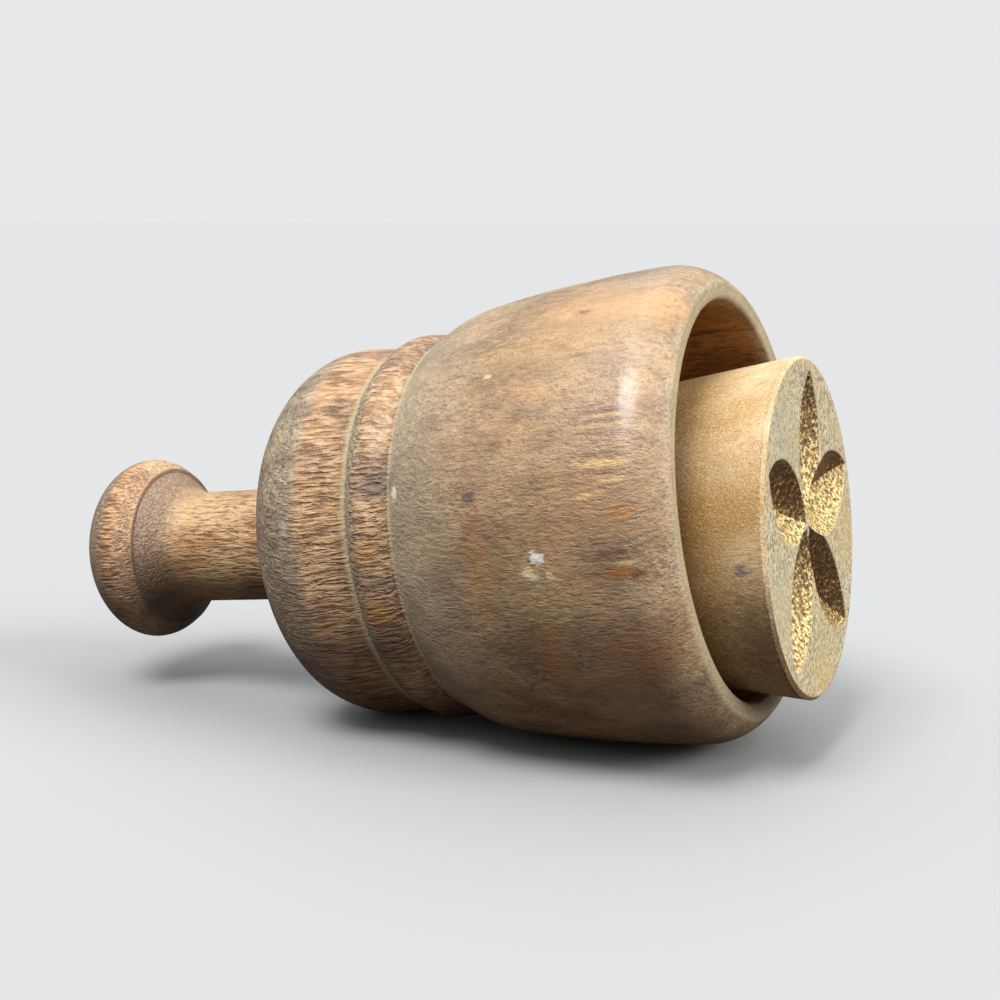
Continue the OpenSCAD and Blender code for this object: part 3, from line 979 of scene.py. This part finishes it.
stampMarks = [
    {"pixel": (765, 640), "size": (6.0, 4.0), "colour": "523519", "rag": 1.2, "soft": 0.9, "strength": 0.7},
    {"pixel": (706, 520), "size": (7.0, 6.0), "colour": "8f6a34", "rag": 1.0, "soft": 0.9, "strength": 0.35},
    {"pixel": (741, 571), "size": (0.6, 0.9), "colour": "59535c", "rag": 1.4, "soft": 0.6, "strength": 0.75},
]

# the carved face is smoother and greyer on its near side and golden low down
faceMarks = [
    {"pixel": (784, 440), "size": (6.0, 6.0), "colour": "b4aa90", "rag": 0.8, "soft": 0.9, "strength": 0.5},
    {"pixel": (782, 600), "size": (4.5, 4.5), "colour": "b6ab8e", "rag": 0.8, "soft": 0.9, "strength": 0.45},
    {"pixel": (822, 682), "size": (4.5, 4.5), "colour": "c4a768", "rag": 1.0, "soft": 0.9, "strength": 0.4},
    {"pixel": (846, 520), "size": (4.0, 4.0), "colour": "bda675", "rag": 1.0, "soft": 0.9, "strength": 0.35},
]


def makeStampWood():
    f = stampFinish
    material, tree, shader, place = newMaterial("stamp_wood", plungerPlace)
    tone = useGroup(tree, patches, {"Position": place, "Size": 8.0})
    carved, rim, shadeAndStain, flank = [meshValue(tree, label) for label in ("carved", "paleEdge", "shadeAndStain", "flank")]
    endGrain = ramp(tree, meshValue(tree, "endGrain"), 0.8, 0.98)
    pores = ramp(tree, noiseAt(tree, stretch(tree, place, (4.2, 4.2, 1.7)), 1.0, 2.0, 0.6).outputs[0], 0.5, 0.68)
    base = blendColours(tree, tone["Patch"], f["sideDeep"], f["side"])
    base = layColours(tree, base, [
        # painted shade towards the case's mouth
        (shadeAndStain, 0.52, f["shadeAndStain"]),
        # painted shade on the stamp's lower side
        (calc(tree, "MULTIPLY", meshValue(tree, "lowerShade"), ramp(tree, tone["Drift"], 0.0, 1.0, 1.0, 0.5)), 0.7, f["lowerShade"]),
        (ramp(tree, tone["Mottle"], 0.5, 1.0), 0.5, f["sideDeep"]),
        # painted shade on the rim's lower side
        (calc(tree, "MULTIPLY", rim, ramp(tree, meshValue(tree, "lowerShade"), 0.0, 0.5, 0.35)), 0.6, f["lowerShade"]),
        (pores, 0.3, f["pore"]),
        (ramp(tree, tone["Speckle"], 0.5, 0.9), 0.45, f["grit"]),
    ])
    base = layMarks(tree, base, stampModel, plungerPlace, place, stampMarks)
    crumbs = noiseAt(tree, place, 2.6, 3.0, 0.65).outputs[0]
    ends = blendColours(tree, ramp(tree, crumbs, 0.38, 0.56), f["faceDark"], f["face"])
    ends = layColours(tree, ends, [(ramp(tree, tone["Mottle"], 0.4, 0.9), 0.35, f["faceGold"]),
                                   (tone["Drift"], 0.3, f["faceGold"]),
                                   (ramp(tree, crumbs, 0.56, 0.66), 0.75, f["edge"])])
    ends = layMarks(tree, ends, stampModel, plungerPlace, place, faceMarks)
    base = blendColours(tree, endGrain, base, ends)
    grit = noiseAt(tree, place, 2.2, 3.0, 0.7).outputs[0]
    # painted light and shade: the carved flanks go gold where they face up and dark where they face down
    lit = total(tree, (flank, 0.1), (grit, 1.0))
    cut = blendColours(tree, ramp(tree, lit, 0.36, 0.66), f["cut"], f["cutGold"])
    # painted glints, more on the flanks that face up
    cut = blendColours(tree, ramp(tree, total(tree, (lit, 1.0), (crumbs, 0.4)), 0.75, 0.87), cut, f["cutSpark"])
    base = blendColours(tree, carved, base, cut)
    brink = calc(tree, "MULTIPLY", calc(tree, "SUBTRACT", 1.0, carved), ramp(tree, carved, 0.0, 0.3))
    edges = calc(tree, "MAXIMUM", calc(tree, "MULTIPLY", brink, 1.2), calc(tree, "MULTIPLY", rim, ramp(tree, tone["Speckle"], 0.2, 1.0, 0.0, 0.3)))
    # the pale edges fade on the lower side as painted shade
    edges = calc(tree, "MULTIPLY", edges, ramp(tree, meshValue(tree, "lowerShade"), 0.0, 1.0, 1.0, 0.3))
    base = layColours(tree, base, [(edges, 0.6, f["edge"])])
    tree.links.new(base, shader.inputs["Base Color"])
    rough = total(tree, (carved, -0.2), (tone["Speckle"], 0.1), (pores, 0.06))
    tree.links.new(calc(tree, "ADD", rough, 0.5), shader.inputs["Roughness"])
    height = total(tree, (pores, -0.25), (tone["Speckle"], 0.4), (calc(tree, "MULTIPLY", crumbs, endGrain), 0.8),
                   (calc(tree, "MULTIPLY", grit, carved), 3.0))
    addBump(tree, shader, height, 1.0, f["bump"])
    return material


caseModel.data.materials.append(makeCaseWood())
handleModel.data.materials.append(makeHandleWood())
stampModel.data.materials.append(makeStampWood())
print("materials made")


# Floor and light

floorFinish = {"size": 12.0, "colour": (0.335, 0.335, 0.335), "bounce": (0.05, 0.033, 0.025)}
windowLight = {"way": (-0.1, -0.5, 0.87), "strength": 3.0, "angle": 26}
fillLight = {"way": (0.85, -0.1, 0.52), "strength": 2.8, "angle": 30}
sky = {"zenith": 1.55, "horizon": 0.11, "seen": 0.81, "tint": (0.95, 0.98, 1.0)}


def makeFloor(f):
    mesh = bpy.data.meshes.new("floor")
    half = f["size"] / 2
    mesh.from_pydata([(-half, -half, 0), (half, -half, 0), (half, half, 0), (-half, half, 0)], [], [(0, 1, 2, 3)])
    floor = bpy.data.objects.new("floor", mesh)
    bpy.context.scene.collection.objects.link(floor)
    material = bpy.data.materials.new("floor")
    material.use_nodes = True
    tree = material.node_tree
    shader = tree.nodes["Principled BSDF"]
    # pale where the camera sees it, and darker in the light it throws back up
    seen = addNode(tree, "ShaderNodeLightPath").outputs["Is Camera Ray"]
    tree.links.new(blendColours(tree, seen, f["bounce"], f["colour"]), shader.inputs["Base Color"])
    shader.inputs["Roughness"].default_value = 0.6
    mesh.materials.append(material)


def makeLight(name, light):
    data = bpy.data.lights.new(name, "SUN")
    data.energy = light["strength"]
    data.angle = math.radians(light["angle"])
    lamp = bpy.data.objects.new(name, data)
    bpy.context.scene.collection.objects.link(lamp)
    lamp.rotation_euler = Vector(light["way"]).to_track_quat("Z", "Y").to_euler()


def makeSky(s):
    # brighter overhead than at the horizon, and plain where the camera sees it
    world = bpy.data.worlds.new("sky")
    bpy.context.scene.world = world
    world.use_nodes = True
    tree = world.node_tree
    background = tree.nodes["Background"]
    parts = addNode(tree, "ShaderNodeSeparateXYZ")
    tree.links.new(addNode(tree, "ShaderNodeTexCoord").outputs["Generated"], parts.inputs[0])
    glow = ramp(tree, parts.outputs[2], 0.0, 1.0, s["horizon"], s["zenith"])
    seen = addNode(tree, "ShaderNodeLightPath").outputs["Is Camera Ray"]
    strength = addNode(tree, "ShaderNodeMix", data_type="FLOAT")
    tree.links.new(seen, strength.inputs[0])
    tree.links.new(glow, strength.inputs[2])
    strength.inputs[3].default_value = s["seen"]
    tree.links.new(blendColours(tree, seen, s["tint"], (1, 1, 1)), background.inputs[0])
    tree.links.new(strength.outputs[0], background.inputs[1])


makeFloor(floorFinish)
makeLight("window", windowLight)
makeLight("fill", fillLight)
makeSky(sky)
bpy.context.scene.view_settings.view_transform = "Standard"
print("floor and lights made")
